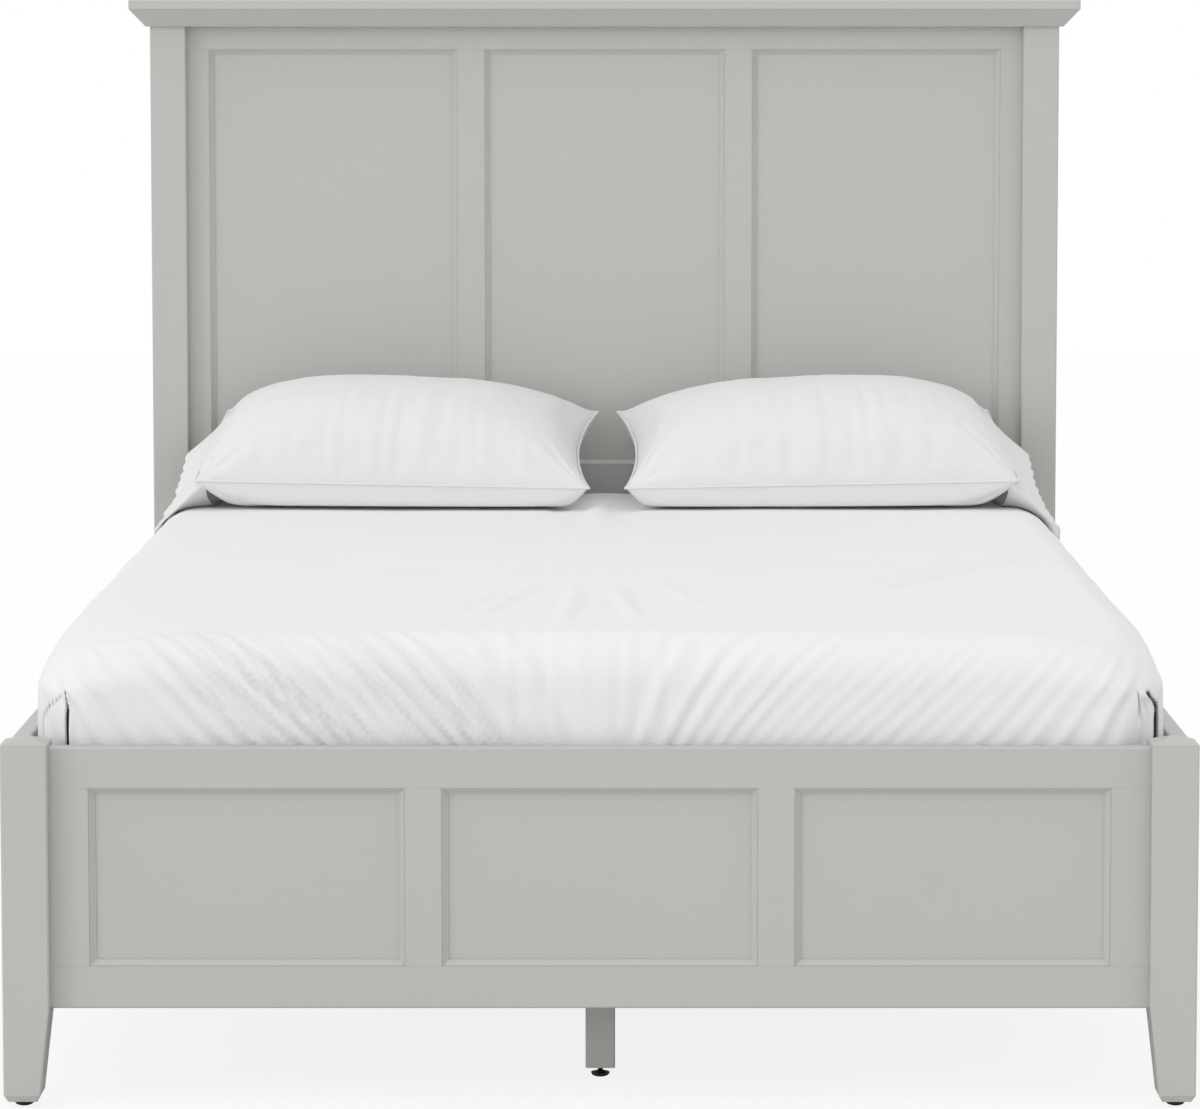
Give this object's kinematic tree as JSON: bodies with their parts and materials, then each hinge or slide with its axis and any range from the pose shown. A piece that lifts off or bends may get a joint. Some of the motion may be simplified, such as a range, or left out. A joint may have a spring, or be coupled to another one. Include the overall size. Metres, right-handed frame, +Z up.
{
  "type": "panel bed",
  "caption": "Queen panel bed with a tall framed-panel headboard under a crown moulding, a low footboard, side rails, slats, centre legs, screw-in glides, mattress, sheet and pillows.",
  "frame": {"origin": "on the floor under the middle of the bed", "axes": "+Z up, +Y towards the headboard, +X to the right of someone who stands at the footboard and faces the headboard"},
  "size_m": [1.72, 2.1944, 1.544],
  "materials": {
    "painted_wood": "satin paint",
    "pine": "planed, unfinished",
    "zinc_steel": "zinc plated",
    "black_plastic": "moulded",
    "black_steel": "black oxide",
    "ticking": "woven",
    "bed_linen": "plain woven cotton"
  },
  "bodies": {
    "frame": {"footboard_post_left": "painted_wood", "footboard_post_right": "painted_wood", "headboard_post_left": "painted_wood", "headboard_post_right": "painted_wood", "footboard_top_rail": "painted_wood", "footboard_bottom_rail": "painted_wood", "footboard_stile_left": "painted_wood", "footboard_stile_right": "painted_wood", "footboard_mullion_left": "painted_wood", "footboard_mullion_right": "painted_wood", "footboard_panel_left": "painted_wood", "footboard_panel_centre": "painted_wood", "footboard_panel_right": "painted_wood", "footboard_beads": "painted_wood", "headboard_top_rail": "painted_wood", "headboard_bottom_rail": "painted_wood", "headboard_stile_left": "painted_wood", "headboard_stile_right": "painted_wood", "headboard_mullion_left": "painted_wood", "headboard_mullion_right": "painted_wood", "headboard_panel_left": "painted_wood", "headboard_panel_centre": "painted_wood", "headboard_panel_right": "painted_wood", "headboard_beads": "painted_wood", "headboard_cap": "painted_wood", "headboard_crown_front": "painted_wood", "headboard_crown_returns": "painted_wood", "headboard_crown_backer": "painted_wood", "side_rail_left": "painted_wood", "side_rail_right": "painted_wood", "centre_leg_foot": "painted_wood", "centre_leg_middle": "painted_wood", "centre_leg_head": "painted_wood", "slat_cleats": "pine", "slats": "pine", "centre_beam": "pine", "rail_hook_plates": "zinc_steel", "post_slot_plates": "zinc_steel", "centre_leg_lag_screws": "zinc_steel", "threaded_inserts": "zinc_steel"},
    "pad_foot_left": {"glide_pad_foot_left": "black_plastic"},
    "stem_foot_left": {"glide_stem_foot_left": "black_steel"},
    "pad_foot_right": {"glide_pad_foot_right": "black_plastic"},
    "stem_foot_right": {"glide_stem_foot_right": "black_steel"},
    "pad_head_left": {"glide_pad_head_left": "black_plastic"},
    "stem_head_left": {"glide_stem_head_left": "black_steel"},
    "pad_head_right": {"glide_pad_head_right": "black_plastic"},
    "stem_head_right": {"glide_stem_head_right": "black_steel"},
    "pad_centre_foot": {"glide_pad_centre_foot": "black_plastic"},
    "stem_centre_foot": {"glide_stem_centre_foot": "black_steel"},
    "pad_centre_middle": {"glide_pad_centre_middle": "black_plastic"},
    "stem_centre_middle": {"glide_stem_centre_middle": "black_steel"},
    "pad_centre_head": {"glide_pad_centre_head": "black_plastic"},
    "stem_centre_head": {"glide_stem_centre_head": "black_steel"},
    "mattress": {"mattress": "ticking", "sheet": "bed_linen"},
    "pillow_left": {"pillow_left": "bed_linen"},
    "pillow_right": {"pillow_right": "bed_linen"}
  },
  "joints": [
    {"name": "glide_travel_foot_left", "type": "slide", "parent": "frame", "child": "pad_foot_left", "axis": [0, 0, -1], "range_m": [0, 0.0125]},
    {"name": "glide_turn_foot_left", "type": "hinge", "parent": "pad_foot_left", "child": "stem_foot_left", "pos_m": [-0.79925, -1.0715, 0], "axis": [0, 0, -1], "range_deg": [0, 3600]},
    {"name": "glide_travel_foot_right", "type": "slide", "parent": "frame", "child": "pad_foot_right", "axis": [0, 0, -1], "range_m": [0, 0.0125]},
    {"name": "glide_turn_foot_right", "type": "hinge", "parent": "pad_foot_right", "child": "stem_foot_right", "pos_m": [0.79925, -1.0715, 0], "axis": [0, 0, -1], "range_deg": [0, 3600]},
    {"name": "glide_travel_head_left", "type": "slide", "parent": "frame", "child": "pad_head_left", "axis": [0, 0, -1], "range_m": [0, 0.0125]},
    {"name": "glide_turn_head_left", "type": "hinge", "parent": "pad_head_left", "child": "stem_head_left", "pos_m": [-0.79925, 1.0715, 0], "axis": [0, 0, -1], "range_deg": [0, 3600]},
    {"name": "glide_travel_head_right", "type": "slide", "parent": "frame", "child": "pad_head_right", "axis": [0, 0, -1], "range_m": [0, 0.0125]},
    {"name": "glide_turn_head_right", "type": "hinge", "parent": "pad_head_right", "child": "stem_head_right", "pos_m": [0.79925, 1.0715, 0], "axis": [0, 0, -1], "range_deg": [0, 3600]},
    {"name": "glide_travel_centre_foot", "type": "slide", "parent": "frame", "child": "pad_centre_foot", "axis": [0, 0, -1], "range_m": [-0.0075, 0.0125]},
    {"name": "glide_turn_centre_foot", "type": "hinge", "parent": "pad_centre_foot", "child": "stem_centre_foot", "pos_m": [0, -0.89225, 0], "axis": [0, 0, -1], "range_deg": [-2160, 3600]},
    {"name": "glide_travel_centre_middle", "type": "slide", "parent": "frame", "child": "pad_centre_middle", "axis": [0, 0, -1], "range_m": [-0.0075, 0.0125]},
    {"name": "glide_turn_centre_middle", "type": "hinge", "parent": "pad_centre_middle", "child": "stem_centre_middle", "pos_m": [0, 0, 0], "axis": [0, 0, -1], "range_deg": [-2160, 3600]},
    {"name": "glide_travel_centre_head", "type": "slide", "parent": "frame", "child": "pad_centre_head", "axis": [0, 0, -1], "range_m": [-0.0075, 0.0125]},
    {"name": "glide_turn_centre_head", "type": "hinge", "parent": "pad_centre_head", "child": "stem_centre_head", "pos_m": [0, 0.89225, 0], "axis": [0, 0, -1], "range_deg": [-2160, 3600]},
    {"name": "mattress_lift", "type": "slide", "parent": "frame", "child": "mattress", "axis": [0, 0, 1], "range_m": [0, 0.2]},
    {"name": "pillow_lift_left", "type": "slide", "parent": "mattress", "child": "pillow_left", "axis": [0, 0, 1], "range_m": [0, 0.2]},
    {"name": "pillow_lift_right", "type": "slide", "parent": "mattress", "child": "pillow_right", "axis": [0, 0, 1], "range_m": [0, 0.2]}
  ],
  "couplings": [
    {"joint": "glide_turn_foot_left", "follows": "glide_travel_foot_left", "rad_per_m": 5026.5},
    {"joint": "glide_turn_foot_right", "follows": "glide_travel_foot_right", "rad_per_m": 5026.5},
    {"joint": "glide_turn_head_left", "follows": "glide_travel_head_left", "rad_per_m": 5026.5},
    {"joint": "glide_turn_head_right", "follows": "glide_travel_head_right", "rad_per_m": 5026.5},
    {"joint": "glide_turn_centre_foot", "follows": "glide_travel_centre_foot", "rad_per_m": 5026.5},
    {"joint": "glide_turn_centre_middle", "follows": "glide_travel_centre_middle", "rad_per_m": 5026.5},
    {"joint": "glide_turn_centre_head", "follows": "glide_travel_centre_head", "rad_per_m": 5026.5}
  ]
}
